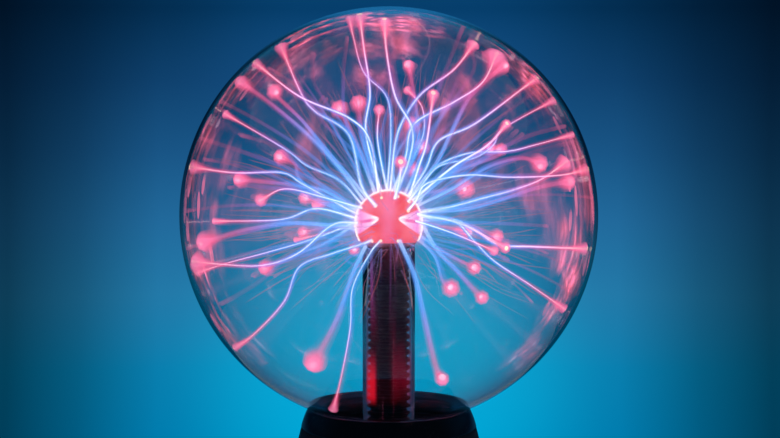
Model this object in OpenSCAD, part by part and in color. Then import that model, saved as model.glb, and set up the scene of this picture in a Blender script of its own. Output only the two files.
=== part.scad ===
// Plasma ball: a gas-filled glass globe with a central electrode, on a flared pedestal that holds its driver.
// Millimetres. +Z is up, the origin is under the middle of the feet, and the rear panel faces +Y.

/* [Globe] */
// Outside diameter of the glass globe
globe_d = 200; // [180:1:220]
// Height of the globe's centre above the table
globe_z = 190; // [190:1:196]
// Thickness of the globe's glass
globe_wall = 1.3; // [1.2:0.1:2]
// Outside diameter of the globe's neck
neck_d = 56; // [50:1:58]
// Radius of the blend between globe and neck
neck_blend = 7; // [5:0.5:7]
// Depth of the neck's end below the globe's centre
neck_drop = 118; // [116:1:118]

/* [Electrode] */
// Outside diameter of the glass stem
stem_d = 25.4; // [24:0.1:26]
// Thickness of the stem's glass
stem_wall = 1.4; // [1.2:0.1:1.5]
// Outside diameter of the bulb on the stem
bulb_d = 32.2; // [30:0.1:36]
// Depth of the bulb's centre below the globe's centre
bulb_drop = 3.9; // [0:0.1:8]
// Thickness of the conductive coating inside the bulb
coating_t = 0.3; // [0.2:0.1:0.5]
// Depth of the coating's edge below the bulb's centre
coating_drop = 8.2; // [6:0.1:9]

/* [Ribbed sleeve] */
// Diameter over the sleeve's ribs
sleeve_d = 20.6; // [19:0.1:21]
// Distance from rib to rib
rib_pitch = 3.66; // [3.4:0.02:4]
// Number of ribs
rib_count = 27; // [20:1:27]
// Bore of the sleeve
sleeve_bore = 14.4; // [12:0.1:15]

/* [Pedestal] */
// Radius of the pedestal at the seam under the glossy cover
seam_r = 42.4; // [42:0.1:44]
// Height of that seam
seam_z = 88; // [87:0.5:88]
// How much the pedestal widens for each millimetre down
flare = 0.26; // [0.24:0.01:0.3]
// Extra widening at the foot
foot_flare = 3; // [0:0.5:6]
// Thickness of the pedestal's walls
wall = 2.4; // [2:0.1:3]
// Height of the rubber feet
foot_h = 3.6; // [3:0.1:4]

/* [Rear panel] */
// Height of the socket and the switch
panel_z = 28; // [27:0.5:29]
// Distance from the axis to the panel's outer face
panel_y = 50.5; // [50:0.5:51]
// Distance between two positions of the switch
switch_step = 3; // [2:0.5:3]

/* [Hidden] */
$fn = 96;

globe_r = globe_d / 2;
neck_r = neck_d / 2;
neck_end_z = globe_z - neck_drop;
stem_r = stem_d / 2;
stem_bore_r = stem_r - stem_wall;
stem_blend = 4;
bulb_r = bulb_d / 2;
bulb_z = globe_z - bulb_drop;
coating_r = bulb_r - stem_wall;
seat_gap = 1.5;                    // thickness of the foam ring under the globe
seat_r = 36.5;                     // outer radius of that ring
seat_bore_r = 33;                  // its inner radius, just outside the neck's blend
lip_r = 0.8;                       // rounding of the cover's rim
rim_r = 38.5;                      // radius at the middle of that rounding
rim_gap = 0.25;                    // air between rim and glass
rim_z = globe_z - sqrt(pow(globe_r + lip_r + rim_gap, 2) - pow(rim_r, 2));
collar_r = 31;                     // bore of the cover's collar, round the neck
collar_wall = 2;
collar_end_z = 80.4;
spigot_r = seam_r - wall - 0.4;    // part of the cover that enters the housing
boss_ring_r = 35.3;                // radius of the circle of cover screws
ledge_z = 76;                      // underside of the housing's ledge, which the cover screws pull on
ledge_t = 4;
edge_z = 3;                        // lowest edge of the housing
plate_t = 2.4;
plate_z = foot_h;
board_z = 20;
board_t = 1.6;
board_r = 49.5;
board_top = board_z + board_t;
post_places = [[34, 26], [-34, 26], [-34, -26], [34, -26]];
screw_ring_r = 55;                 // radius of the circle of bottom screws
foot_ring_r = 50;
panel_t = 2;
panel_half_w = 18;
panel_half_h = 9;
jack_x = -11;
mic_x = -1.6;
switch_x = 9;                      // middle of the switch
rest_x = switch_x - switch_step;   // the switch rests at "on", one step to the left of the middle
travel = 2 * switch_step;
choke_place = [-25, 33, board_top + 1];
choke_r = 6;
choke_bore_r = 3.5;
choke_h = 5;
transformer_y = -12;
core_z = board_top + 2;
lead_r = 1.8;
lead_bend = 8;
lead_y = -22.7;
lead_start_z = 32;
lead_top_z = 174.5;

function housing_r(z) = let (h = seam_z - z, full = seam_z - edge_z)
    seam_r - 0.1 + flare * h + foot_flare * pow(h / full, 5);

// A ring with a rectangular section
module ring(outer, inner, low, high) {
    translate([0, 0, low]) difference() {
        cylinder(r = outer, h = high - low);
        translate([0, 0, -1]) cylinder(r = inner, h = high - low + 2);
    }
}

// A box given by its lowest and highest corners
module box(low, high) {
    translate(low) cube(high - low);
}

// A cylinder that lies along Y from y0 to y1
module rod_y(r, x, z, y0, y1) {
    translate([x, y1, z]) rotate([90, 0, 0]) cylinder(r = r, h = y1 - y0);
}

module around(count, radius, start = 0) {
    for (i = [0:count - 1]) rotate([0, 0, start + i * 360 / count]) translate([radius, 0, 0]) children();
}

// Half section of globe and neck, measured from the globe's centre. The blend is an arc that
// touches both, and the neck's outline runs on inside the sphere's.
module globe_outline(r, nr, blend, drop) {
    steps = 8;
    cx = nr + blend;
    cz = -sqrt(pow(r + blend, 2) - pow(cx, 2));
    meet = acos(cx / (r + blend));
    arc = [for (i = [0:steps]) let (a = 180 - meet * i / steps) [cx + blend * cos(a), cz + blend * sin(a)]];
    intersection() {
        translate([0, -drop]) square([r + 1, drop + r + 1]);
        union() {
            circle(r = r, $fn = 180);
            polygon(concat([[0, -drop - 1], [nr, -drop - 1]], arc, [[nr, -r / 2], [0, -r / 2]]));
        }
    }
}

module globe() {
    color([0.85, 0.92, 0.96, 0.3]) translate([0, 0, globe_z]) rotate_extrude($fn = 180) difference() {
        globe_outline(globe_r, neck_r, neck_blend, neck_drop);
        globe_outline(globe_r - globe_wall, neck_r - globe_wall, neck_blend + globe_wall, neck_drop + 1);
    }
}

// Stem tube with its bulb on top and the flange that closes the neck below
module electrode_stem() {
    flange_r = neck_r - globe_wall;
    color([0.85, 0.92, 0.96, 0.3]) rotate_extrude() difference() {
        union() {
            intersection() {
                translate([0, bulb_z]) circle(r = bulb_r);
                translate([0, bulb_z - bulb_r]) square([bulb_r, 2 * bulb_r]);
            }
            translate([0, neck_end_z]) square([stem_r, bulb_z - neck_end_z]);
            translate([0, neck_end_z]) square([flange_r, globe_wall]);
            translate([0, neck_end_z + globe_wall]) difference() {
                square([stem_r + stem_blend, stem_blend]);
                translate([stem_r + stem_blend, stem_blend]) circle(r = stem_blend);
            }
        }
        intersection() {
            translate([0, bulb_z]) circle(r = coating_r);
            translate([0, bulb_z - bulb_r]) square([bulb_r, 2 * bulb_r]);
        }
        translate([0, neck_end_z - 1]) square([stem_bore_r, bulb_z - neck_end_z]);
    }
}

// Sealed end of the tube that the gas went in by
module exhaust_tip() {
    tip_r = 2.6;
    straight = 8;
    color([0.85, 0.92, 0.96, 0.3]) translate([0, 19, neck_end_z - straight]) rotate_extrude()
        polygon([[0, straight], [tip_r, straight], [tip_r, 0], [tip_r * 0.75, -2.2], [tip_r * 0.3, -4], [0, -4.6]]);
}

// Conductive layer on the inside of the bulb
module electrode_coating() {
    color([0.75, 0.12, 0.1]) translate([0, 0, bulb_z]) rotate_extrude() intersection() {
        difference() {
            circle(r = coating_r);
            circle(r = coating_r - coating_t);
        }
        translate([0, -coating_drop]) square([bulb_r, bulb_r + coating_drop]);
    }
}

// Cap on the end of the high-voltage lead, with four fingers that press on the coating
module contact_spring() {
    cap_r = 3.6;
    cap_h = 5;
    finger_r = 7.4;
    finger_w = 2.4;
    finger_t = 0.35;
    centre = [coating_r - coating_t - 0.25 - finger_r, lead_top_z + cap_h + finger_r - 0.9];
    color([0.8, 0.65, 0.3]) {
        translate([0, 0, lead_top_z]) cylinder(r = cap_r, h = cap_h);
        for (a = [0:90:270]) rotate([0, 0, a]) translate([0, finger_w / 2, 0]) rotate([90, 0, 0])
            linear_extrude(finger_w) intersection() {
                translate(centre) difference() {
                    circle(r = finger_r);
                    circle(r = finger_r - finger_t);
                }
                translate([3, lead_top_z]) square([bulb_r, cap_h + finger_r + 3]);
            }
    }
}

// Black corrugated sleeve that hides and insulates the lead inside the stem
module ribbed_sleeve() {
    rib_r = 1.35;
    rib_rise = 0.25;
    root_r = sleeve_d / 2 - rib_r - rib_rise;
    top_z = bulb_z - coating_drop - 0.6;
    length = rib_pitch * rib_count;
    color([0.03, 0.03, 0.035]) rotate_extrude() {
        translate([sleeve_bore / 2, top_z - length]) square([root_r - sleeve_bore / 2, length]);
        for (i = [0:rib_count - 1]) intersection() {
            translate([root_r + rib_rise, top_z - rib_pitch * (i + 0.5)]) circle(r = rib_r, $fn = 32);
            translate([root_r - 0.4, top_z - rib_pitch * (i + 1)]) square([2 * rib_r + 1, rib_pitch]);
        }
    }
}

// Plug in the mouth of the stem that carries the sleeve and centres the lead
module sleeve_bush() {
    sleeve_end_z = bulb_z - coating_drop - 0.6 - rib_pitch * rib_count;
    color([0.1, 0.1, 0.1]) difference() {
        union() {
            translate([0, 0, neck_end_z - 3]) cylinder(r = stem_r + 1.5, h = 3);
            translate([0, 0, neck_end_z - 1]) cylinder(r = stem_bore_r - 0.1, h = sleeve_end_z - neck_end_z + 1);
        }
        translate([0, 0, neck_end_z - 4]) cylinder(r = lead_r + 0.05, h = 20);
    }
}

module lead_turn() {
    rotate_extrude(angle = 90) translate([lead_bend, 0]) circle(r = lead_r);
}

// High-voltage lead, from the transformer up through the stem
module hv_lead() {
    rise_z = 54;
    turn_z = rise_z + lead_bend;
    up_z = turn_z + lead_bend;
    color([0.75, 0.1, 0.08]) {
        translate([0, lead_y, lead_start_z]) cylinder(r = lead_r, h = rise_z - lead_start_z);
        translate([0, lead_y + lead_bend, rise_z]) rotate([90, 0, -90]) lead_turn();
        rod_y(lead_r, 0, turn_z, lead_y + lead_bend, -lead_bend);
        translate([0, -lead_bend, up_z]) rotate([0, 90, 0]) lead_turn();
        translate([0, 0, up_z]) cylinder(r = lead_r, h = lead_top_z - up_z);
    }
}

module seat_gasket() {
    color([0.02, 0.02, 0.02]) translate([0, 0, globe_z]) rotate_extrude($fn = 180) intersection() {
        difference() {
            circle(r = globe_r + seat_gap);
            circle(r = globe_r);
        }
        translate([seat_bore_r, -globe_r - 5]) square([seat_r - seat_bore_r, 20]);
    }
}

// Silicone that bonds the neck into the cover's collar
module neck_silicone() {
    color([0.12, 0.12, 0.12]) ring(collar_r, neck_r, collar_end_z + 0.6, 88);
}

// Foam pad that keeps the electronics away from the sealed end of the globe
module foam_baffle() {
    color([0.05, 0.05, 0.05]) difference() {
        ring(collar_r, stem_r + 2.3, neck_end_z - 3, neck_end_z);
        translate([0, 19, neck_end_z - 4]) cylinder(r = 3.4, h = 5);
    }
}

// Glossy cover: rounded rim, sloping shoulder, dished seat for the globe, collar and spigot
module top_cover() {
    seat_top_r = 37.6;
    web_t = 2;
    shoulder = [for (i = [0:6]) let (t = i / 6)
        [rim_r + lip_r + (seam_r - rim_r - lip_r) * (1.35 * t - 0.35 * t * t), rim_z + (seam_z - rim_z) * t]];
    color([0.02, 0.02, 0.025]) difference() {
        union() {
            rotate_extrude() difference() {
                union() {
                    polygon(concat([[rim_r, rim_z]], shoulder,
                        [[spigot_r, seam_z], [spigot_r, ledge_z + ledge_t + 0.2],
                         [spigot_r - 2, ledge_z + ledge_t + 0.2], [spigot_r - 2, 90],
                         [collar_r + collar_wall, 90], [collar_r + collar_wall, collar_end_z],
                         [collar_r, collar_end_z], [collar_r, rim_z], [rim_r, rim_z]]));
                    translate([rim_r, rim_z]) circle(r = lip_r, $fn = 32);
                }
                intersection() {
                    translate([0, globe_z]) circle(r = globe_r + seat_gap, $fn = 180);
                    square([seat_top_r, globe_z]);
                }
            }
            around(3, boss_ring_r, 30) translate([0, 0, ledge_z + ledge_t]) cylinder(r = 2.6, h = 11);
        }
        around(3, boss_ring_r, 30) translate([0, 0, ledge_z + ledge_t - 1]) cylinder(r = 1.25, h = 9.5);
    }
}

// Pan-head screw, point up, with its head's underside at z = 0
module screw(shaft_r, length, head_r, head_h) {
    difference() {
        rotate_extrude() polygon([[0, -head_h], [head_r * 0.8, -head_h], [head_r, -head_h * 0.6], [head_r, 0],
            [shaft_r, 0], [shaft_r, length - shaft_r], [0.2, length], [0, length]]);
        for (a = [0, 90]) rotate([0, 0, a])
            box([-head_r * 0.6, -0.35, -head_h - 1], [head_r * 0.6, 0.35, -head_h * 0.5]);
    }
}

module cover_screws() {
    color([0.7, 0.7, 0.72]) around(3, boss_ring_r, 30) translate([0, 0, ledge_z]) screw(1.25, 11, 2.5, 2);
}

module housing_solid(inset, low, high) {
    steps = 22;
    rotate_extrude() polygon(concat([[0, low]],
        [for (i = [0:steps]) let (z = low + (high - low) * i / steps) [housing_r(z) - inset, z]], [[0, high]]));
}

// Flared matt housing with its ledge, screw bosses and the recessed bay for the rear panel
module base_housing() {
    bay_w = panel_half_w + 2.5;
    bay_h = panel_half_h + 2.5;
    lip = 1;
    color([0.03, 0.03, 0.035]) difference() {
        union() {
            difference() {
                housing_solid(0, edge_z, seam_z - 0.15);
                housing_solid(wall, edge_z - 1, seam_z + 1);
            }
            ring(housing_r(ledge_z) - 1, collar_r + 1.2, ledge_z, ledge_z + ledge_t);
            intersection() {
                union() {
                    around(4, screw_ring_r, 45) translate([0, 0, plate_z + plate_t]) cylinder(r = 4, h = 24);
                    box([-bay_w, panel_y - 3.5, panel_z - bay_h], [bay_w, 80, panel_z + bay_h]);
                }
                housing_solid(0.6, edge_z, seam_z - 1);
            }
        }
        around(3, boss_ring_r, 30) translate([0, 0, ledge_z - 1]) cylinder(r = 1.5, h = ledge_t + 2);
        around(4, screw_ring_r, 45) translate([0, 0, plate_z]) cylinder(r = 1.5, h = 18);
        box([-panel_half_w, panel_y - 6, panel_z - panel_half_h], [panel_half_w, 80, panel_z + panel_half_h]);
        box([-panel_half_w - lip, panel_y - panel_t, panel_z - panel_half_h - lip],
            [panel_half_w + lip, panel_y, panel_z + panel_half_h + lip]);
    }
}

// Flat panel at the back of the bay, with the holes for socket and microphone and the slot of the switch
module rear_panel() {
    lip = 1;
    color([0.04, 0.04, 0.045]) difference() {
        box([-panel_half_w - lip, panel_y - panel_t, panel_z - panel_half_h - lip],
            [panel_half_w + lip, panel_y, panel_z + panel_half_h + lip]);
        rod_y(4.4, jack_x, panel_z, panel_y - 5, panel_y + 1);
        rod_y(0.9, mic_x, panel_z, panel_y - 5, panel_y + 1);
        box([rest_x - 1.7, panel_y - 5, panel_z - 1.7], [rest_x + travel + 1.7, panel_y + 1, panel_z + 1.7]);
    }
}

module bottom_plate() {
    color([0.04, 0.04, 0.045]) difference() {
        union() {
            translate([0, 0, plate_z]) cylinder(r = housing_r(plate_z + plate_t) - wall - 0.3, h = plate_t);
            for (p = post_places) translate([p[0], p[1], plate_z + 1]) cylinder(r = 3.2, h = board_z - plate_z - 1);
        }
        for (x = [-20:8:20]) hull() for (y = [-12, 12]) translate([x, y, plate_z - 1]) cylinder(r = 1.5, h = 5, $fn = 32);
        for (p = post_places) translate([p[0], p[1], board_z - 8]) cylinder(r = 1.05, h = 9);
        around(4, screw_ring_r, 45) translate([0, 0, plate_z - 1]) cylinder(r = 1.8, h = 5);
    }
}

module bottom_screws() {
    color([0.7, 0.7, 0.72]) around(4, screw_ring_r, 45) translate([0, 0, plate_z]) screw(1.5, 16, 3.2, 2);
}

module rubber_feet() {
    color([0.05, 0.05, 0.05]) around(4, foot_ring_r) rotate_extrude()
        polygon([[0, 0], [6.4, 0], [7, 0.6], [7.6, foot_h], [0, foot_h]]);
}

module circuit_board() {
    color([0.1, 0.35, 0.15]) difference() {
        translate([0, 0, board_z]) intersection() {
            union() {
                cylinder(r = board_r, h = board_t);
                box([-17.5, 0, 0], [17.5, board_r, board_t]);
            }
            box([-board_r - 1, -board_r - 1, 0], [board_r + 1, panel_y - panel_t - 0.3, board_t]);
        }
        for (p = post_places) translate([p[0], p[1], board_z - 1]) cylinder(r = 1.4, h = 4);
    }
}

module board_screws() {
    color([0.7, 0.7, 0.72]) for (p = post_places) translate([p[0], p[1], board_top]) mirror([0, 0, 1])
        screw(1.05, 7, 2.4, 1.6);
}

// Ferrite frame with a round middle leg
module transformer_core() {
    height = 30;
    color([0.15, 0.15, 0.16]) translate([0, transformer_y, core_z]) {
        difference() {
            box([-14, -5.5, 0], [14, 5.5, height]);
            box([-9.2, -6, 5], [9.2, 6, height - 5]);
        }
        translate([0, 0, 4.9]) cylinder(r = 4, h = height - 9.8);
    }
}

// Spool with partitions, between the bars of the core
module transformer_bobbin() {
    sections = 4;
    low = core_z + 5.2;
    high = core_z + 24.8;
    pitch = (high - low - 1) / sections;
    color([0.85, 0.82, 0.7]) translate([0, transformer_y, 0]) {
        ring(5.4, 4.15, low, high);
        for (i = [0:sections]) ring(8.8, 5, low + i * pitch, low + i * pitch + 1);
    }
}

// One winding in each section of the spool
module transformer_windings() {
    sections = 4;
    low = core_z + 5.2;
    high = core_z + 24.8;
    pitch = (high - low - 1) / sections;
    color([0.6, 0.3, 0.12]) translate([0, transformer_y, 0])
        for (i = [0:sections - 1]) ring(8.1, 5.4, low + i * pitch + 1, low + (i + 1) * pitch);
}

module heat_sink() {
    color([0.75, 0.76, 0.78]) {
        box([30, -22, board_top], [32, 6, board_top + 24]);
        for (y = [-22:4.3:5]) box([31.9, y, board_top], [38, y + 1.2, board_top + 24]);
    }
}

module power_transistor() {
    color([0.08, 0.08, 0.08]) translate([30, -8, board_top + 4]) {
        box([-1.3, -5, 0], [0, 5, 15.5]);
        box([-4.5, -5, 0], [-1.29, 5, 9]);
        for (y = [-2.54, 0, 2.54]) box([-3, y - 0.4, -4], [-2.4, y + 0.4, 0.01]);
    }
}

module transistor_screw() {
    color([0.7, 0.7, 0.72]) translate([28.7, -8, board_top + 17]) rotate([0, -90, 0]) cylinder(r = 2.4, h = 2);
}

module electrolytic_capacitors() {
    places = [[-28, -12, 6.5, 22], [-31, 5, 5, 16], [-17, -30, 4, 12]];
    color([0.1, 0.12, 0.3]) for (p = places) translate([p[0], p[1], board_top]) rotate_extrude()
        polygon([[0, 0], [p[2], 0], [p[2], 1.2], [p[2] - 0.4, 1.6], [p[2] - 0.4, 2.2], [p[2], 2.6],
                 [p[2], p[3] - 0.5], [p[2] - 0.5, p[3]], [0, p[3]]]);
}

module film_capacitors() {
    color([0.7, 0.15, 0.1]) {
        box([12, -38, board_top], [24, -32, board_top + 10]);
        box([-24, 16, board_top], [-12, 21, board_top + 9]);
        box([18, 12, board_top], [26, 17, board_top + 7]);
    }
}

// Axial resistors lying on the board, each with its two legs
module resistors() {
    leg_z = board_top + 1.5;
    color([0.8, 0.7, 0.5]) for (i = [0:4]) translate([-6 + 4.2 * i, 8, 0]) {
        rod_y(1.2, 0, leg_z, 0, 6);
        rod_y(0.3, 0, leg_z, -1.6, 0.1);
        rod_y(0.3, 0, leg_z, 5.9, 7.6);
        for (y = [-1.6, 7.6]) translate([0, y, board_top]) cylinder(r = 0.3, h = 1.8, $fn = 24);
    }
}

module driver_chip() {
    color([0.06, 0.06, 0.06]) translate([2, 26, board_top]) {
        box([-4.8, -3.2, 0.5], [4.8, 3.2, 3.8]);
        for (i = [0:3], s = [-1, 1]) translate([-3.81 + 2.54 * i, s * 3.5, 0]) box([-0.3, -0.35, 0], [0.3, 0.35, 1.6]);
    }
}

module choke_core() {
    color([0.2, 0.2, 0.2]) translate(choke_place) ring(choke_r, choke_bore_r, 0, choke_h);
}

// Square turns of wire round the ring core
module choke_winding() {
    turns = 14;
    gap = 0.05;
    wire = 0.8;
    color([0.75, 0.4, 0.15]) translate(choke_place) for (i = [0:turns - 1]) rotate([0, 0, i * 360 / turns])
        difference() {
            box([choke_bore_r - gap - wire, -wire / 2, -gap - wire],
                [choke_r + gap + wire, wire / 2, choke_h + gap + wire]);
            box([choke_bore_r - gap, -wire, -gap], [choke_r + gap, wire, choke_h + gap]);
        }
}

module trimmer() {
    color([0.1, 0.3, 0.6]) translate([24, 26, board_top]) difference() {
        box([-3.5, -3.5, 0], [3.5, 3.5, 5]);
        translate([0, 0, 4]) cylinder(r = 2, h = 2);
    }
}

module microphone() {
    color([0.7, 0.7, 0.72]) difference() {
        rod_y(3, mic_x, panel_z, panel_y - panel_t - 4.6, panel_y - panel_t - 0.1);
        rod_y(1.2, mic_x, panel_z, panel_y - panel_t - 0.6, panel_y - panel_t + 1);
    }
}

// Body of the barrel socket, with its mouth flush with the panel
module dc_jack_housing() {
    back = panel_y - panel_t - 14;
    color([0.05, 0.05, 0.05]) difference() {
        union() {
            box([jack_x - 4.5, back, board_top], [jack_x + 4.5, panel_y - panel_t, board_top + 11]);
            rod_y(4.2, jack_x, panel_z, panel_y - panel_t - 1, panel_y);
        }
        rod_y(2.9, jack_x, panel_z, panel_y - 10, panel_y + 1);
        rod_y(1, jack_x, panel_z, panel_y - 12, panel_y);
    }
}

module dc_jack_pin() {
    color([0.8, 0.8, 0.82]) {
        rod_y(1, jack_x, panel_z, panel_y - 12, panel_y - 2);
        translate([jack_x, panel_y - 2, panel_z]) sphere(r = 1, $fn = 32);
    }
}

// Folded steel can of the slide switch
module switch_can() {
    front = panel_y - panel_t;
    color([0.75, 0.75, 0.77]) difference() {
        box([switch_x - 7, front - 5.4, panel_z - 3.5], [switch_x + 7, front, panel_z + 3.5]);
        box([switch_x - 6.4, front - 4.8, panel_z - 2.9], [switch_x + 6.4, front - 0.6, panel_z + 2.9]);
        box([rest_x - 1.7, front - 2, panel_z - 1.5], [rest_x + travel + 1.7, front + 1, panel_z + 1.5]);
    }
}

module switch_terminals() {
    front = panel_y - panel_t;
    color([0.8, 0.75, 0.5]) for (i = [-1.5:1:1.5], y = [front - 4.6, front - 1.6]) translate([switch_x + i * switch_step, y, 0])
        box([-0.4, -0.25, board_top], [0.4, 0.25, panel_z - 3.5]);
}

// Moulded slider inside the can, with the stalk that comes out through the slot
module switch_actuator() {
    front = panel_y - panel_t;
    color([0.06, 0.06, 0.06]) {
        box([rest_x - 3, front - 4.4, panel_z - 2.6], [rest_x + 3, front - 0.9, panel_z + 2.6]);
        box([rest_x - 1.25, front - 0.91, panel_z - 1.2], [rest_x + 1.25, panel_y + 1.8, panel_z + 1.2]);
    }
}

// Ribbed finger piece on the stalk
module switch_cap() {
    color([0.05, 0.05, 0.05]) difference() {
        union() {
            box([rest_x - 2.6, panel_y + 0.3, panel_z - 3], [rest_x + 2.6, panel_y + 2.4, panel_z + 3]);
            for (i = [-2:2]) box([rest_x + i - 0.25, panel_y + 2.39, panel_z - 3], [rest_x + i + 0.25, panel_y + 3, panel_z + 3]);
        }
        box([rest_x - 1.25, panel_y, panel_z - 1.2], [rest_x + 1.25, panel_y + 1.8, panel_z + 1.2]);
    }
}

globe();
electrode_stem();
exhaust_tip();
electrode_coating();
contact_spring();
ribbed_sleeve();
sleeve_bush();
hv_lead();
seat_gasket();
neck_silicone();
foam_baffle();
top_cover();
cover_screws();
base_housing();
rear_panel();
bottom_plate();
bottom_screws();
rubber_feet();
circuit_board();
board_screws();
transformer_core();
transformer_bobbin();
transformer_windings();
heat_sink();
power_transistor();
transistor_screw();
electrolytic_capacitors();
film_capacitors();
resistors();
driver_chip();
choke_core();
choke_winding();
trimmer();
microphone();
dc_jack_housing();
dc_jack_pin();
switch_can();
switch_terminals();
switch_actuator();
switch_cap();
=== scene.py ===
import math
import random
import bpy
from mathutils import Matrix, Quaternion, Vector


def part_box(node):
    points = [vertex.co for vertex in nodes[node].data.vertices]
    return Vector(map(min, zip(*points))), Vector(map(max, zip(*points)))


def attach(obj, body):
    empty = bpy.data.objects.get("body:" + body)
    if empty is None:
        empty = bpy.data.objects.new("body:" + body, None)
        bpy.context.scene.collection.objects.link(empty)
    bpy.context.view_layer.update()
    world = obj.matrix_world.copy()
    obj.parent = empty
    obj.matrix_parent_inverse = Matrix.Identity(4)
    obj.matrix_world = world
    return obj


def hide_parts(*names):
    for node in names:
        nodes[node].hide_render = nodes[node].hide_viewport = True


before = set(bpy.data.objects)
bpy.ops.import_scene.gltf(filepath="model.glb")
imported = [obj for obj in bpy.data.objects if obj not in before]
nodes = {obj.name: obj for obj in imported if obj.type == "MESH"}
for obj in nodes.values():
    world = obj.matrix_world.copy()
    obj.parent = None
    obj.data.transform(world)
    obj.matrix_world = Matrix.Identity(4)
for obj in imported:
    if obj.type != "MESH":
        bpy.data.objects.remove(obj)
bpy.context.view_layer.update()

mm = 0.001
weld = {"spun": 0.004 * mm, "cad": 0.002 * mm}    # points closer than this become one
globeLow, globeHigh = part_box("globe")
globe = {
    "radius": 100 * mm,
    "wall": 1.3 * mm,
    "neckRadius": 28 * mm,
    "blend": 7 * mm,
    "steps": 144,
}
globe["z"] = globeHigh.z - globe["radius"]
centre = Vector((0, 0, globe["z"]))
coatingLow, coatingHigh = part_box("electrode_coating")
bulb = {"radius": 16.1 * mm, "wall": 1.4 * mm}
bulb["z"] = coatingHigh.z - bulb["radius"] + bulb["wall"]
bulbCentre = Vector((0, 0, bulb["z"]))


class Flow:
    # wraps one socket, so that shader maths reads as plain expressions
    def __init__(self, tree, socket=None):
        self.tree = tree
        self.socket = socket

    def node(self, kind, settings=None, inputs=None, out=0):
        made = self.tree.nodes.new(kind)
        for key, value in (settings or {}).items():
            if key == "stops":
                setStops(made.color_ramp, value)
            else:
                setattr(made, key, value)
        for key, value in (inputs or {}).items():
            if isinstance(value, Flow):
                self.tree.links.new(value.socket, made.inputs[key])
            else:
                made.inputs[key].default_value = value
        return Flow(self.tree, made.outputs[out] if len(made.outputs) else None)

    def math(self, operation, *values, clamp=False):
        settings = {"operation": operation, "use_clamp": clamp}
        return self.node("ShaderNodeMath", settings, dict(enumerate(values)))

    def __add__(self, other):
        return self.math("ADD", self, other)

    def __radd__(self, other):
        return self.math("ADD", other, self)

    def __sub__(self, other):
        return self.math("SUBTRACT", self, other)

    def __rsub__(self, other):
        return self.math("SUBTRACT", other, self)

    def __mul__(self, other):
        return self.math("MULTIPLY", self, other)

    def __rmul__(self, other):
        return self.math("MULTIPLY", other, self)

    def __truediv__(self, other):
        return self.math("DIVIDE", self, other)

    def __rtruediv__(self, other):
        return self.math("DIVIDE", other, self)

    def absolute(self):
        return self.math("ABSOLUTE", self)

    def clamped(self):
        return self.math("ADD", self, 0.0, clamp=True)

    def xyz(self):
        made = self.node("ShaderNodeSeparateXYZ", None, {0: self}).socket.node
        return [Flow(self.tree, output) for output in made.outputs]

    def ramp(self, stops):
        return self.node("ShaderNodeValToRGB", {"stops": stops}, {0: self})

    def band(self, low, high):
        # 0 below low, 1 above high, or the other way round when low is larger
        return self.node("ShaderNodeMapRange", {"interpolation_type": "SMOOTHSTEP"},
                         {0: self, 1: low, 2: high, 3: 0.0, 4: 1.0})


def setStops(ramp, stops):
    while len(ramp.elements) > 1:
        ramp.elements.remove(ramp.elements[-1])
    for index, (place, colour) in enumerate(stops):
        element = ramp.elements[0] if index == 0 else ramp.elements.new(place)
        element.position = place
        value = (colour,) * 3 if isinstance(colour, (int, float)) else tuple(colour)
        element.color = (*value, 1.0)


def distance(flow, place, other):
    return flow.node("ShaderNodeVectorMath", {"operation": "DISTANCE"}, {0: place, 1: other}, out=1)


def mixColour(flow, factor, first, second, mode="MIX"):
    def full(value):
        return value if isinstance(value, Flow) else (*value, 1.0)
    return flow.node("ShaderNodeMix", {"data_type": "RGBA", "blend_type": mode},
                     {0: factor, 6: full(first), 7: full(second)}, out=2)


def startMaterial(name):
    material = bpy.data.materials.new(name)
    material.use_nodes = True
    material.node_tree.nodes.clear()
    return material, Flow(material.node_tree)


def finishMaterial(material, flow, sockets):
    # sockets: the Principled node's inputs by name, as constants or flows
    shader = flow.node("ShaderNodeBsdfPrincipled", None, sockets)
    flow.node("ShaderNodeOutputMaterial", None, {0: shader})
    return material


def objectPlace(flow):
    return flow.node("ShaderNodeTexCoord", out=3)


def stretched(flow, vector, scale):
    return flow.node("ShaderNodeMapping", None, {"Vector": vector, "Scale": scale})


def noise(flow, vector, scale, detail=4.0, rough=0.55, out=0):
    return flow.node("ShaderNodeTexNoise", None,
                     {"Vector": vector, "Scale": scale, "Detail": detail, "Roughness": rough}, out=out)


def bump(flow, height, strength, distance):
    return flow.node("ShaderNodeBump", None, {"Height": height, "Strength": strength, "Distance": distance})


def shades(flow, factor, colour, darker, lighter):
    # drifts between a darker and a lighter shade of one colour
    return mixColour(flow, factor, [c * darker for c in colour], [min(1.0, c * lighter) for c in colour])


def finishGlow(material, flow, colour, strength, alpha):
    # gas that shines: nothing but emission, more or less see-through, and no lamp for other pieces
    material.cycles.emission_sampling = "NONE"
    return finishMaterial(material, flow, {
        "Base Color": (0, 0, 0, 1), "Roughness": 1.0, "Specular IOR Level": 0.0,
        "Emission Color": colour, "Emission Strength": strength, "Alpha": alpha})


def plainFinish(name, colour, roughness, grain=None, metallic=0.0, spread=0.25, extra=None):
    # colour drifts a little over the surface, and a fine grain moves roughness and normal
    material, flow = startMaterial(name)
    place = objectPlace(flow)
    drift = noise(flow, place, 35.0, 3.0)
    grain = grain or {"scale": 900.0, "bump": 0.15, "depth": 0.0001}
    fine = noise(flow, place, grain["scale"], 3.0)
    sockets = {
        "Base Color": shades(flow, drift, colour, 1 - spread, 1 + spread),
        "Roughness": (roughness + (fine - 0.5) * 0.18 + (drift - 0.5) * 0.12).clamped(),
        "Metallic": metallic,
        "Normal": bump(flow, fine, grain["bump"], grain["depth"]),
    }
    sockets.update(extra or {})
    return finishMaterial(material, flow, sockets)


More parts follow.
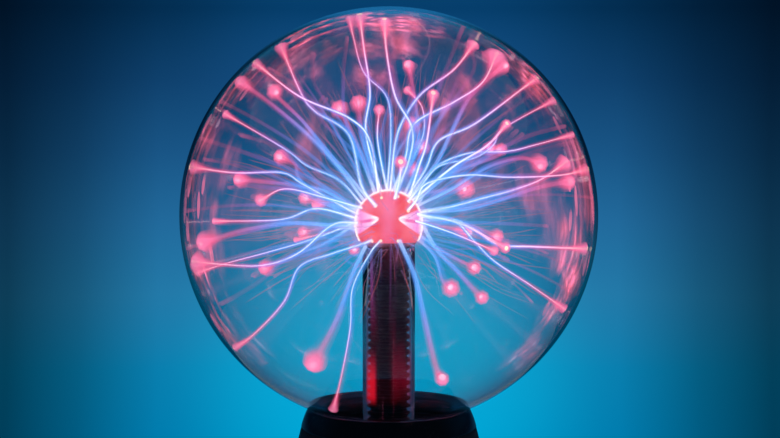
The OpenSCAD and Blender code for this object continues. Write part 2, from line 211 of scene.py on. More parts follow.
def clearGlass():
    # faintly darker in the lower half
    material, flow = startMaterial("clearGlass")
    _, _, z = objectPlace(flow).xyz()
    darkerBelow = z.band(globe["z"], globe["z"] - 60 * mm)
    return finishMaterial(material, flow, {
        "Base Color": mixColour(flow, darkerBelow, (0.995, 1.0, 1.0), (0.945, 0.96, 0.96)),
        "Roughness": 0.0, "IOR": 1.45, "Transmission Weight": 1.0})


def moulding(name, colour, roughness, coat):
    # injection-moulded black with faint flow marks and fine hairline scratches
    material, flow = startMaterial(name)
    place = objectPlace(flow)
    cloud = noise(flow, place, 28.0, 4.0)
    scratches = noise(flow, stretched(flow, place, (900.0, 900.0, 60.0)), 1.0, 2.0)
    marks = scratches.band(0.66, 0.74)
    return finishMaterial(material, flow, {
        "Base Color": shades(flow, cloud, colour, 0.7, 1.3),
        "Roughness": (roughness + cloud * 0.05 + marks * 0.12).clamped(),
        "Coat Weight": coat,
        "Coat Roughness": 0.05,
        "Normal": bump(flow, scratches + cloud * 2.0, 0.05, 0.0001)})


def sparkSkin(name, colour, roughness, scale, depth):
    # spark-eroded matt texture: pebbled at about half a millimetre
    material, flow = startMaterial(name)
    place = objectPlace(flow)
    pebble = flow.node("ShaderNodeTexVoronoi", {"feature": "F1"}, {"Vector": place, "Scale": scale})
    cloud = noise(flow, place, 22.0, 5.0)
    fine = noise(flow, place, scale * 1.6, 3.0)
    return finishMaterial(material, flow, {
        "Base Color": shades(flow, cloud * 0.7 + fine * 0.3, colour, 0.6, 1.5),
        "Roughness": (roughness + (fine - 0.5) * 0.2 + (cloud - 0.5) * 0.1).clamped(),
        "Normal": bump(flow, pebble + fine * 0.6, 0.5, depth)})


def glow(name, colours, density, strength):
    # colour and density follow the distance from the globe's centre, in units of its radius
    material, flow = startMaterial(name)
    reach = distance(flow, objectPlace(flow), centre) / globe["radius"]
    return finishGlow(material, flow, reach.ramp(colours), strength, reach.ramp(density))


def plainGlow(name, colour, density, strength=1.2):
    # an even veil that a slow noise makes a little thinner here and there
    material, flow = startMaterial(name)
    cloud = noise(flow, objectPlace(flow), 90.0, 2.0)
    alpha = (cloud.band(0.2, 0.7) * density).clamped()
    return finishGlow(material, flow, shades(flow, cloud, colour, 1.0, 1.3), strength, alpha)


print("materials")
# a finish's grain: the scale of its noise, and how strongly and how deeply that dents the surface
grains = {
    "satin": {"scale": 500.0, "bump": 0.1, "depth": 0.0001},
    "plated": {"scale": 700.0, "bump": 0.1, "depth": 0.0001},
    "rubbery": {"scale": 1300.0, "bump": 0.3, "depth": 0.0002},
    "sintered": {"scale": 1800.0, "bump": 0.4, "depth": 0.0002},
    "cellular": {"scale": 2200.0, "bump": 0.6, "depth": 0.0003},
    "wound": {"scale": 2500.0, "bump": 0.5, "depth": 0.0002},
}
dull = {"Specular IOR Level": 0.12}
looks = {
    "glass": clearGlass(),
    "glossBlack": moulding("glossBlack", (0.005, 0.005, 0.007), 0.14, 0.25),
    "mattBlack": sparkSkin("mattBlack", (0.012, 0.012, 0.014), 0.55, 1500.0, 0.00006),
    "panelBlack": sparkSkin("panelBlack", (0.028, 0.028, 0.03), 0.5, 2000.0, 0.00004),
    "nylonBlack": plainFinish("nylonBlack", (0.045, 0.045, 0.047), 0.4),
    "sleeveBlack": plainFinish("sleeveBlack", (0.003, 0.002, 0.004), 0.55, grains["satin"], 0.0, 0.25, dull),
    "rubber": plainFinish("footRubber", (0.018, 0.018, 0.018), 0.75, grains["rubbery"]),
    "foam": plainFinish("blackFoam", (0.012, 0.012, 0.012), 0.9, grains["cellular"]),
    "silicone": plainFinish("curedSilicone", (0.05, 0.05, 0.05), 0.35),
    "zinc": plainFinish("zincPlate", (0.62, 0.63, 0.62), 0.32, grains["plated"], 1.0, 0.12),
    "tin": plainFinish("tinnedSheet", (0.72, 0.72, 0.71), 0.25, None, 1.0, 0.08),
    "nickel": plainFinish("nickelPlate", (0.78, 0.76, 0.72), 0.12, None, 1.0, 0.05),
    "brass": plainFinish("rolledBrass", (0.78, 0.58, 0.25), 0.3, None, 1.0, 0.12),
    "copper": plainFinish("enamelledCopper", (0.55, 0.2, 0.07), 0.22, grains["wound"], 0.6, 0.2),
    "leadRed": plainFinish("leadSilicone", (0.4, 0.02, 0.015), 0.4),
    "solderMask": plainFinish("solderMask", (0.01, 0.09, 0.03), 0.3, None, 0.0, 0.35),
    "ferrite": plainFinish("ferriteGrey", (0.03, 0.03, 0.032), 0.5, grains["sintered"]),
    "nylonNatural": plainFinish("nylonNatural", (0.62, 0.56, 0.4), 0.45),
    "aluminium": plainFinish("extrudedAluminium", (0.7, 0.71, 0.72), 0.35, None, 1.0, 0.08),
    "epoxy": plainFinish("mouldedEpoxy", (0.015, 0.015, 0.015), 0.5),
    "canBlue": plainFinish("canSleeve", (0.012, 0.02, 0.09), 0.25),
    "filmRed": plainFinish("filmDip", (0.35, 0.03, 0.015), 0.2),
    "lacquerTan": plainFinish("lacquerTan", (0.5, 0.36, 0.2), 0.35),
    "trimmerBlue": plainFinish("trimmerBlue", (0.02, 0.08, 0.3), 0.35),
}


def selectOnly(*pieces):
    # operators act on all that is selected, so everything else is let go first
    if bpy.context.object and bpy.context.object.mode != "OBJECT":
        bpy.ops.object.mode_set(mode="OBJECT")
    bpy.ops.object.select_all(action="DESELECT")
    for piece in pieces:
        piece.select_set(True)
        bpy.context.view_layer.objects.active = piece


def paint(piece, look):
    piece.data.materials.clear()
    piece.data.materials.append(looks[look])


def settle(piece, body, look, stands=(), angle=30):
    # every new piece ends here: smooth shading, material, body, and the CAD nodes that it stands for
    selectOnly(piece)
    bpy.ops.object.transform_apply(location=True, rotation=True, scale=True)
    bpy.ops.object.shade_smooth_by_angle(angle=math.radians(angle))
    if look:
        paint(piece, look)
    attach(piece, body)
    if stands:
        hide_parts(*stands)
    return piece


def settleGlow(piece, look, glossy=True):
    # glow rides on the root body and stands for no node; the faint wide ones are kept out of reflections
    piece.visible_glossy = glossy
    return settle(piece, "root", look, [], 80)


def arc(middleR, middleZ, radius, start, end, count):
    # points on a circle in the half section, angles in degrees from +X towards +Z
    return [(middleR + radius * math.cos(math.radians(start + (end - start) * i / count)),
             middleZ + radius * math.sin(math.radians(start + (end - start) * i / count)))
            for i in range(count + 1)]


def drawProfile(name, points):
    # a plane is merged to one vertex, which is then extruded along the half section
    selectOnly()
    bpy.ops.mesh.primitive_plane_add(size=mm, location=(0, 0, 0))
    piece = bpy.context.object
    piece.name = name
    piece.data.name = name
    bpy.ops.object.mode_set(mode="EDIT")
    bpy.ops.mesh.select_all(action="SELECT")
    bpy.ops.mesh.merge(type="CENTER")
    bpy.ops.transform.translate(value=(points[0][0], 0, points[0][1]))
    for before, after in zip(points, points[1:]):
        step = (after[0] - before[0], 0, after[1] - before[1])
        bpy.ops.mesh.extrude_vertices_move(TRANSFORM_OT_translate={"value": step})
    return piece


def spunPiece(name, points, steps=96):
    piece = drawProfile(name, points)
    bpy.ops.mesh.select_all(action="SELECT")
    bpy.ops.mesh.spin(steps=steps, angle=2 * math.pi, center=(0, 0, 0), axis=(0, 0, 1))
    bpy.ops.mesh.select_all(action="SELECT")
    bpy.ops.mesh.remove_doubles(threshold=weld["spun"])
    bpy.ops.mesh.select_all(action="SELECT")
    bpy.ops.mesh.normals_make_consistent(inside=False)
    bpy.ops.object.mode_set(mode="OBJECT")
    return piece


def addModifier(piece, kind, **settings):
    made = piece.modifiers.new(kind.title(), kind)
    for key, value in settings.items():
        setattr(made, key, value)
    selectOnly(piece)
    bpy.ops.object.modifier_apply(modifier=made.name)


def boxPiece(name, low, high):
    selectOnly()
    size = [b - a for a, b in zip(low, high)]
    middle = [(a + b) / 2 for a, b in zip(low, high)]
    bpy.ops.mesh.primitive_cube_add(size=1, location=middle)
    piece = bpy.context.object
    piece.name = name
    piece.scale = size
    bpy.ops.object.transform_apply(location=True, rotation=True, scale=True)
    return piece


def carve(piece, cutter, operation="DIFFERENCE"):
    addModifier(piece, "BOOLEAN", operation=operation, object=cutter, solver="EXACT")
    bpy.data.objects.remove(cutter)


def joined(name, pieces):
    # one piece of several
    selectOnly(*pieces)
    bpy.ops.object.join()
    piece = bpy.context.object
    piece.name = name
    return piece


def ball(place, radius, outward=None, shape=(1, 1, 1), segments=16, rings=10):
    # a ball of glow, drawn out or flattened; the third number of its shape is along outward
    selectOnly()
    turn = outward.to_track_quat("Z", "Y").to_euler() if outward else (0, 0, 0)
    bpy.ops.mesh.primitive_uv_sphere_add(segments=segments, ring_count=rings, radius=radius, location=place,
                                         rotation=turn)
    piece = bpy.context.object
    piece.scale = shape
    bpy.ops.object.transform_apply(location=True, rotation=True, scale=True)
    return piece


def smoothCopy(name, node):
    # the CAD node's loose triangles, merged to one shell
    piece = bpy.data.objects.new(name, nodes[node].data.copy())
    bpy.context.scene.collection.objects.link(piece)
    selectOnly(piece)
    bpy.ops.object.mode_set(mode="EDIT")
    bpy.ops.mesh.select_all(action="SELECT")
    bpy.ops.mesh.customdata_custom_splitnormals_clear()
    bpy.ops.mesh.remove_doubles(threshold=weld["cad"])
    bpy.ops.object.mode_set(mode="OBJECT")
    return piece


print("glass")
globeSeat = globeLow.z


def globeHalf(radius, neckRadius, blend, arcCount, upwards):
    # from the top pole down the sphere and round the blend to the neck's top
    across = neckRadius + blend
    down = math.sqrt((radius + blend) ** 2 - across ** 2)
    turn = math.degrees(math.acos(across / (radius + blend)))
    points = arc(0, globe["z"], radius, 90, -turn, arcCount)
    points += arc(across, globe["z"] - down, blend, 180 - turn, 180, 10)[1:]
    return points[::-1] if upwards else points


outer = globeHalf(globe["radius"], globe["neckRadius"], globe["blend"], 90, False)
inner = globeHalf(globe["radius"] - globe["wall"], globe["neckRadius"] - globe["wall"],
                  globe["blend"] + globe["wall"], 90, True)
rimRound = globe["wall"] / 2
neckRim = arc(globe["neckRadius"] - rimRound, globeSeat + rimRound, rimRound, 0, -180, 8)
globePiece = spunPiece("globe_glass", outer + neckRim + inner, globe["steps"])
settle(globePiece, "root", "glass", ["globe"], 60)

stem = {"radius": 12.7 * mm, "wall": 1.4 * mm, "flange": 26.65 * mm, "blend": 4 * mm, "steps": 96}


def stemProfile():
    outerTurn = math.degrees(math.acos(stem["radius"] / bulb["radius"]))
    innerBulb = bulb["radius"] - stem["wall"]
    innerTube = stem["radius"] - stem["wall"]
    innerTurn = math.degrees(math.acos(innerTube / innerBulb))
    flangeTop = globeSeat + globe["wall"]
    points = arc(0, bulb["z"], bulb["radius"], 90, -outerTurn, 40)
    tubeTop = points[-1][1]
    tubeLow = flangeTop + stem["blend"]
    points += [(stem["radius"], tubeTop - (tubeTop - tubeLow) * i / 12) for i in range(1, 13)]
    points += arc(stem["radius"] + stem["blend"], tubeLow, stem["blend"], 180, 270, 8)[1:]
    points += [(stem["flange"], flangeTop), (stem["flange"], globeSeat)]
    points += [(innerTube + mm, globeSeat), (innerTube, globeSeat + mm)]
    innerArc = arc(0, bulb["z"], innerBulb, 90, -innerTurn, 40)[::-1]
    return points + innerArc


stemPiece = spunPiece("stem_glass", stemProfile(), stem["steps"])
settle(stemPiece, "root", "glass", ["electrode_stem"], 50)

tipLow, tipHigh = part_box("exhaust_tip")
tip = {"radius": 2.6 * mm, "y": 19 * mm, "taper": 4.6 * mm}
tipPoints = [(0, tipHigh.z), (tip["radius"], tipHigh.z)]
tipPoints += [(tip["radius"] * math.cos(t) ** 0.7, tipLow.z + tip["taper"] * (1 - math.sin(t)))
              for t in [math.pi / 2 * i / 10 for i in range(10)]] + [(0, tipLow.z)]
tipPiece = spunPiece("exhaust_tip_glass", tipPoints, 40)
tipPiece.location.y = tip["y"]
settle(tipPiece, "root", "glass", ["exhaust_tip"], 40)

print("electrode")


def coatingLook():
    # red through the glass, a pink bar down the middle, and a magenta fan to either side of it
    material, flow = startMaterial("coatingGlow")
    place = objectPlace(flow)
    x, _, z = place.xyz()
    side = x.absolute() / bulb["radius"]
    height = (z - bulb["z"]) / bulb["radius"]
    wander = noise(flow, stretched(flow, place, (180.0, 180.0, 60.0)), 1.0, 3.0)
    patch = noise(flow, place, 90.0, 3.0)
    bar = side.band(0.34, 0.02) * (0.45 + wander * 0.9)
    outwards = side.band(0.24, 0.34)
    slant = height - 0.20 + (side - 0.26) * 0.22
    halfWidth = (side - 0.20) * 0.56
    fan = (halfWidth - slant.absolute()).band(-0.02, 0.06) * outwards
    notch = slant.absolute().band(0.02, 0.07)    # a redder line down the middle of the fan
    hot = fan * (side.band(0.55, 0.30) + notch * side.band(0.95, 0.4) * 0.6)
    spark = fan * side.band(0.80, 0.92) * 0.9
    base = mixColour(flow, patch.band(0.35, 0.7), (0.95, 0.015, 0.02), (1.0, 0.07, 0.045))
    base = mixColour(flow, (bar * 0.9).clamped(), base, (1.0, 0.12, 0.26))
    base = mixColour(flow, (fan * (0.55 + notch * 0.4)).clamped(), base, (1.0, 0.17, 0.78))
    base = mixColour(flow, (hot + spark).clamped(), base, (1.5, 1.15, 1.2))
    shadow = height.band(-0.62, -0.2) * 0.35 + 0.65
    base = mixColour(flow, shadow, (0.5, 0.0, 0.02), base)
    material.cycles.emission_sampling = "NONE"
    return finishMaterial(material, flow, {
        "Base Color": (0.05, 0.005, 0.005, 1), "Roughness": 0.5,
        "Emission Color": base, "Emission Strength": 1.0})


looks["coating"] = coatingLook()
coat = {"thick": 0.3 * mm, "sunk": 0.04 * mm}    # fused to the glass, with no gap between them
coatOuter = bulb["radius"] - bulb["wall"] + coat["sunk"]
edgeTurn = math.degrees(math.asin((bulb["z"] - coatingLow.z) / coatOuter))
coatPoints = arc(0, bulb["z"], coatOuter, 90, -edgeTurn, 40)
coatPoints += arc(0, bulb["z"], coatOuter - coat["thick"], -edgeTurn, 90, 40)
coatPiece = spunPiece("coating_shell", coatPoints, 96)
settle(coatPiece, "root", "coating", ["electrode_coating"], 50)

sleeveLow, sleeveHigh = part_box("ribbed_sleeve")
sleeve = {
    "ribs": 27,
    "rootRadius": 8.75 * mm,
    "bore": 7.2 * mm,
    "steps": 72,
    # one rib from its top down: share of the pitch, share of the rib's height
    "rib": [(0.0, 0.0), (0.19, 0.0), (0.20, 0.3), (0.24, 0.62), (0.32, 0.88), (0.42, 0.98),
            (0.50, 1.0), (0.58, 0.98), (0.68, 0.88), (0.76, 0.62), (0.80, 0.3), (0.81, 0.0)],
}


def sleeveProfile():
    pitch = (sleeveHigh.z - sleeveLow.z) / sleeve["ribs"]
    ribHeight = sleeveHigh.x - sleeve["rootRadius"]
    points = [(sleeve["bore"], sleeveHigh.z)]
    for rib in range(sleeve["ribs"]):
        top = sleeveHigh.z - rib * pitch
        points += [(sleeve["rootRadius"] + ribHeight * out, top - share * pitch)
                   for share, out in sleeve["rib"]]
    points.append((sleeve["rootRadius"], sleeveLow.z))
    points.append((sleeve["bore"], sleeveLow.z))
    points.append(points[0])
    return points


sleevePiece = spunPiece("corrugated_sleeve", sleeveProfile(), sleeve["steps"])
settle(sleevePiece, "root", "sleeveBlack", ["ribbed_sleeve"], 35)

print("pedestal")
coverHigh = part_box("top_cover")[1]
housingLow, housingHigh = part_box("base_housing")
seamZ = 88 * mm
cover = {    # radii, walls and heights of the glossy cover
    "rim": 38.5 * mm, "lip": 0.8 * mm, "seam": 42.4 * mm, "bulge": 0.35,
    "seatEdge": 37.6 * mm, "seatGap": 1.5 * mm, "shelf": 90 * mm,
    "collar": 31 * mm, "collarLow": 80.4 * mm,
    "spigot": 39.6 * mm, "spigotLow": 80.2 * mm, "wall": 2 * mm,
}


def coverProfile():
    rimZ = coverHigh.z - cover["lip"]
    seatR = globe["radius"] + cover["seatGap"]
    edge = cover["rim"] + cover["lip"]
    points = arc(cover["rim"], rimZ, cover["lip"], 130, 0, 10)
    shoulderLow = seamZ + 0.35 * mm    # the edge over the seam is softened below this
    for i in range(1, 15):
        t = i / 14
        swollen = t + cover["bulge"] * (t - t * t)
        points.append((edge + (cover["seam"] - edge) * swollen, rimZ + (shoulderLow - rimZ) * t))
    points += [(cover["seam"] - 0.12 * mm, seamZ + 0.1 * mm), (cover["seam"] - 0.4 * mm, seamZ)]
    spigotBore = cover["spigot"] - cover["wall"]
    collarOut = cover["collar"] + cover["wall"]
    points += [(cover["spigot"], seamZ), (cover["spigot"], cover["spigotLow"])]
    points += [(spigotBore, cover["spigotLow"]), (spigotBore, cover["shelf"]), (collarOut, cover["shelf"])]
    points += [(collarOut, cover["collarLow"]), (cover["collar"], cover["collarLow"])]
    for i in range(13):
        r = cover["collar"] + (cover["seatEdge"] - cover["collar"]) * i / 12
        points.append((r, globe["z"] - math.sqrt(seatR ** 2 - r ** 2)))
    points.append((cover["rim"] - 0.75 * mm, rimZ + 0.2 * mm))
    points.append(points[0])
    return points


coverPiece = spunPiece("gloss_cover", coverProfile(), 128)
settle(coverPiece, "root", "glossBlack", ["top_cover"], 35)

housing = {
    "low": housingLow.z, "top": housingHigh.z, "wall": 2.4 * mm, "edge": 1.0 * mm, "softened": 0.4 * mm,
    "flare": 0.26, "footFlare": 3 * mm, "reveal": 0.1 * mm,
    "ledgeLow": 76 * mm, "ledgeHigh": 80 * mm, "ledgeBore": 32.2 * mm, "steps": 46,
}
bay = {    # the window at the back that the socket and the switch sit in, and the frame round it
    "halfWidth": 18 * mm, "halfHeight": 9 * mm, "z": 28 * mm, "frame": 2.5 * mm,
    "inside": 40 * mm, "start": 47 * mm, "outside": 80 * mm,
}


def housingRadius(z):
    down = seamZ - z
    full = seamZ - housing["low"]
    foot = housing["footFlare"] * (down / full) ** 5
    return cover["seam"] - housing["reveal"] + housing["flare"] * down + foot


def housingProfile():
    steps = housing["steps"]
    edge = housing["edge"]
    low = housing["low"]
    top = housing["top"]
    wallTop = top - housing["softened"]
    points = [(housingRadius(top) - housing["wall"], top)]
    points += [(housingRadius(top) - 0.45 * mm, top), (housingRadius(top) - 0.13 * mm, top - 0.12 * mm)]
    for i in range(steps + 1):
        z = wallTop + (low + edge - wallTop) * i / steps
        points.append((housingRadius(z), z))
    points += arc(housingRadius(low + edge) - edge, low + edge, edge, 0, -90, 6)[1:]
    points.append((housingRadius(low) - housing["wall"], low))
    for i in range(12):
        z = low + (housing["ledgeLow"] - low) * (i + 1) / 12
        points.append((housingRadius(z) - housing["wall"], z))
    points += [(housing["ledgeBore"], housing["ledgeLow"]), (housing["ledgeBore"], housing["ledgeHigh"])]
    points += [(housingRadius(housing["ledgeHigh"]) - housing["wall"], housing["ledgeHigh"])]
    points.append(points[0])
    return points


def bayBox(name, start, end, margin=0):
    # a box along the bay, from one depth to another, larger than the window by the margin all round
    halfWidth = bay["halfWidth"] + margin
    halfHeight = bay["halfHeight"] + margin
    return boxPiece(name, (-halfWidth, start, bay["z"] - halfHeight), (halfWidth, end, bay["z"] + halfHeight))


housingPiece = spunPiece("flared_housing", housingProfile(), 160)
carve(housingPiece, bayBox("windowCutter", bay["inside"], bay["outside"]))
settle(housingPiece, "root", "mattBlack", ["base_housing"], 35)


def bayFrame():
    # the tunnel between the housing's window and the panel, trimmed just inside the housing's skin
    piece = bayBox("bay_frame", bay["start"], bay["outside"], bay["frame"])
    carve(piece, bayBox("tunnelCutter", bay["inside"], bay["outside"] + 10 * mm))
    low, top = housing["low"], housing["top"]
    heights = [low + (top - low) * i / 40 for i in range(41)]
    limit = [(0, low)] + [(housingRadius(z) - 0.5 * mm, z) for z in heights] + [(0, top)]
    carve(piece, spunPiece("frameLimit", limit, 128), "INTERSECT")
    return piece


settle(bayFrame(), "root", "mattBlack", [], 30)

# copies of CAD nodes, by name: node, look and bevel width in mm
for name, node, look, width in (
        ("back_panel", "rear_panel", "panelBlack", 0.25), ("floor_plate", "bottom_plate", "panelBlack", 0.0),
        ("foot_set", "rubber_feet", "rubber", 0.0), ("socket_shell", "dc_jack_housing", "nylonBlack", 0.12),
        ("socket_pin", "dc_jack_pin", "nickel", 0.0), ("plate_screws", "bottom_screws", "zinc", 0.0),
        ("slider", "switch_actuator", "nylonBlack", 0.0), ("finger_cap", "switch_cap", "nylonBlack", 0.1),
        ("seat_ring", "seat_gasket", "foam", 0.0), ("switch_shell", "switch_can", "tin", 0.0)):
    piece = smoothCopy(name, node)
    if width:
        addModifier(piece, "BEVEL", width=width * mm, segments=2, limit_method="ANGLE",
                    angle_limit=math.radians(40))
    body = "switch_slider" if node in ("switch_actuator", "switch_cap") else "root"
    settle(piece, body, look, [node], 30)

finishes = {
    "contact_spring": "brass", "sleeve_bush": "rubber", "hv_lead": "leadRed", "neck_silicone": "silicone",
    "foam_baffle": "foam", "cover_screws": "zinc", "circuit_board": "solderMask", "board_screws": "zinc",
    "transformer_core": "ferrite", "transformer_bobbin": "nylonNatural", "transformer_windings": "copper",
    "heat_sink": "aluminium", "power_transistor": "epoxy", "transistor_screw": "zinc",
    "electrolytic_capacitors": "canBlue", "film_capacitors": "filmRed", "resistors": "lacquerTan",
    "driver_chip": "epoxy", "choke_core": "ferrite", "choke_winding": "copper", "trimmer": "trimmerBlue",
    "microphone": "tin", "switch_terminals": "tin"}
for node, look in finishes.items():
    paint(nodes[node], look)

print("discharge")
dice = random.Random(7)
gas = {
    "glassReach": globe["radius"] - globe["wall"] - 0.7 * mm,
    "rootReach": bulb["radius"] + 0.05 * mm,
    "strays": 60,
    "strayHeights": (0.95, -0.5),
    "wisps": 330,
    "spacing": 1.6 * mm,
}
# colours and densities from the bulb out to the glass, white and blue to pink
bloomColours = [
    (0.14, (0.3, 0.38, 1.0)), (0.3, (0.10, 0.36, 1.0)), (0.56, (0.12, 0.30, 1.0)), (0.7, (0.5, 0.16, 0.65)),
    (0.82, (1.0, 0.07, 0.2)), (0.92, (1.0, 0.11, 0.27)), (0.98, (1.0, 0.2, 0.42))]
looks["core"] = glow(
    "filamentCore",
    [(0.14, (1.0, 0.95, 1.0)), (0.35, (0.85, 0.95, 1.0)), (0.55, (0.75, 0.75, 1.0)),
     (0.72, (0.95, 0.62, 1.0)), (0.86, (1.0, 0.42, 0.62)), (0.95, (1.0, 0.6, 0.55))],
    [(0.14, 0.98), (0.45, 0.75), (0.75, 0.5), (0.9, 0.5), (0.97, 0.9)], 1.6)
looks["halo"] = glow(
    "filamentHalo",
    [(0.14, (0.75, 0.85, 1.0)), (0.3, (0.25, 0.55, 1.0)), (0.58, (0.28, 0.40, 1.0)),
     (0.72, (0.75, 0.28, 0.8)), (0.84, (1.0, 0.16, 0.42)), (0.95, (1.0, 0.26, 0.5))],
    [(0.14, 0.35), (0.25, 0.28), (0.4, 0.2), (0.7, 0.11), (0.8, 0.08), (0.89, 0.1), (0.95, 0.42)], 1.5)
looks["bloom"] = glow(
    "filamentBloom", bloomColours, [(0.14, 0.03), (0.3, 0.07), (0.7, 0.03), (0.88, 0.04), (0.95, 0.24)], 1.35)
looks["mist"] = glow(
    "filamentMist", bloomColours,
    [(0.14, 0.01), (0.4, 0.02), (0.86, 0.006), (0.9, 0.02), (0.955, 0.13)], 1.35)
looks["ghost"] = glow(
    "filamentGhost", bloomColours,
    [(0.14, 0.02), (0.3, 0.10), (0.6, 0.07), (0.8, 0.02), (0.9, 0.02), (0.96, 0.07)], 1.2)
looks["wisp"] = glow(
    "gasWisps",
    [(0.16, (0.5, 0.4, 1.0)), (0.35, (0.25, 0.3, 0.9)), (0.55, (0.8, 0.2, 0.3)), (0.9, (1.0, 0.2, 0.12))],
    [(0.16, 0.16), (0.4, 0.12), (0.7, 0.09), (0.9, 0.03)], 0.9)

# each filament's side, -1 in front and 1 behind, its kind, and its points as seen from the front:
# x and z in mm from the middle of the globe
drawn = [
    (-0.2, "sharp", [(-6, 15), (-9, 36), (-19, 47), (-42, 57), (-63, 73)]),
    (-0.1, "wide", [(-6, 5), (-13, 15), (-19, 39), (-35, 50), (-42, 59), (-53, 84)]),
    (0.7, "soft", [(-13, 12), (-30, 31), (-43, 46), (-55, 57), (-59, 62)]),
    (0.3, "thin", [(-15, 7), (-24, 17), (-40, 24), (-51, 32), (-82, 50)]),
    (-0.1, "sharp", [(-16, 1), (-30, 9), (-42, 16), (-51, 21), (-73, 21), (-94, 24)]),
    (0.8, "soft", [(-16, 3), (-30, 11), (-43, 13), (-54, 14), (-80, 16)]),
    (0.3, "thin", [(-16, -1), (-35, 3), (-49, -2), (-61, -4), (-90, -5)]),
    (0.8, "soft", [(-16, -4), (-32, -15), (-47, -22), (-67, -32)]),
    (0.2, "thin", [(-15, -3), (-35, -11), (-59, -18), (-78, -23), (-94, -28)]),
    (-0.3, "thin", [(-8, -11), (-14, -13), (-27, -17), (-42, -23), (-49, -39), (-63, -54), (-72, -60)]),
    (-0.8, "soft", [(-11, -14), (-17, -26), (-24, -45), (-34, -63)]),
    (-0.5, "thin", [(-4, -11), (-9, -17), (-17, -33), (-18, -51), (-22, -73), (-26, -89)]),
    (-0.9, "soft", [(5, -11), (12, -26), (16, -42), (21, -64), (24, -69)]),
    (0.9, "soft", [(16, -4), (24, -18), (34, -29), (45, -42), (50, -48)]),
    (0.8, "soft", [(14, -11), (23, -22), (28, -37), (34, -44)]),
    (0.2, "thin", [(17, 0), (32, -3), (41, -12), (51, -22), (69, -34), (86, -46)]),
    (0.1, "sharp", [(17, 0), (31, -2), (42, -7), (53, -14), (70, -15), (96, -16)]),
    (0.4, "soft", [(17, 3), (37, 3), (54, 7), (74, 13), (93, 16)]),
    (-0.3, "sharp", [(9, 3), (13, 8), (18, 16), (37, 20), (57, 19), (81, 20), (94, 23)]),
    (0.6, "soft", [(17, 7), (30, 12), (50, 23), (68, 27), (80, 23)]),
    (0.1, "thin", [(12, 11), (22, 23), (38, 30), (57, 31), (70, 34), (91, 40)]),
    (-0.1, "thin", [(9, 7), (15, 14), (24, 24), (41, 28), (50, 34), (55, 42), (80, 56)]),
    (0.2, "sharp", [(11, 12), (18, 23), (24, 36), (41, 44), (64, 61), (72, 67)]),
    (-0.5, "wide", [(3, 15), (8, 28), (12, 44), (30, 54), (43, 63), (49, 76)]),
    (0.2, "sharp", [(1, 16), (3, 34), (7, 46), (16, 59), (32, 71), (43, 85)]),
    (-0.3, "sharp", [(5, 16), (10, 28), (11, 42), (3, 57), (-1, 77), (-2, 91)]),
    (0.1, "sharp", [(-5, 16), (-11, 40), (-9, 59), (-12, 81), (-14, 97)]),
    (0.1, "thin", [(-1, 17), (1, 39), (-1, 57), (-12, 69), (-17, 86), (-19, 96)]),
    (-0.9, "sharp", [(10, 9), (14, 24), (17, 36), (19, 57)]),
    (0.9, "soft", [(4, 17), (14, 34), (14, 52), (10, 77)]),
    (-0.9, "sharp", [(3, 9), (5, 20), (5, 28)]),
    (0.9, "soft", [(9, 13), (14, 22), (18, 33)]),
    (0.9, "soft", [(-13, -5), (-30, -8), (-47, -14)]),
    (0.9, "soft", [(-14, 2), (-30, 3), (-46, 5)]),
    (-0.9, "thin", [(-13, 4), (-30, 10), (-46, 15), (-55, 11)]),
    (0.9, "soft", [(-7, -10), (-15, -18), (-19, -24)]),
    (0.9, "soft", [(-8, 14), (-16, 34), (-27, 54)]),
    (0.9, "soft", [(-5, 16), (-13, 36), (-16, 57)]),
    (-0.9, "thin", [(-1, 15), (-5, 36), (-4, 50)]),
    (-0.8, "sharp", [(12, 8), (30, 24), (44, 34), (51, 44)]),
    (0.9, "soft", [(14, 8), (34, 22), (55, 32)]),
    (-0.9, "thin", [(13, -2), (28, -5), (45, -10)]),
    (-0.9, "sharp", [(14, 1), (32, -1), (50, -9)]),
    (0.8, "soft", [(15, -2), (38, -6), (59, -16)]),
    (0.9, "soft", [(12, -8), (30, -22), (47, -33)]),
    (-0.4, "wide", [(-15, -3), (-27, -4), (-43, -17), (-59, -22), (-77, -21), (-90, -19)]),
    (0.5, "wide", [(16, 2), (30, 4), (46, 8), (62, 12), (76, 17), (90, 26)]),
]


def towards(point, reach):
    return point.normalized() * reach


def drawnPath(side, flat):
    # gives the points their depth: the line starts on the bulb and runs out to the globe's inner wall
    end = Vector((flat[-1][0] * mm, 0, flat[-1][1] * mm))
    room = math.sqrt(max(gas["glassReach"] ** 2 - end.length_squared, 0.0))
    end.y = math.copysign(room, side) if room > 12 * mm or abs(side) > 0.6 else side * room
    end = towards(end, gas["glassReach"])
    first = Vector((flat[0][0] * mm, 0, flat[0][1] * mm)) - (bulbCentre - centre)
    depth = math.sqrt(max(gas["rootReach"] ** 2 - first.length_squared, 0.0))
    first.y = math.copysign(depth, side)
    start = towards(first, gas["rootReach"]) + bulbCentre
    path = [start]
    for index, (x, z) in enumerate(flat[1:-1], 1):
        share = (index / (len(flat) - 1)) ** 1.15
        y = start.y + (end.y - start.y) * share
        path.append(Vector((x * mm, y, z * mm)) + centre)
    path.append(end + centre)
    return path


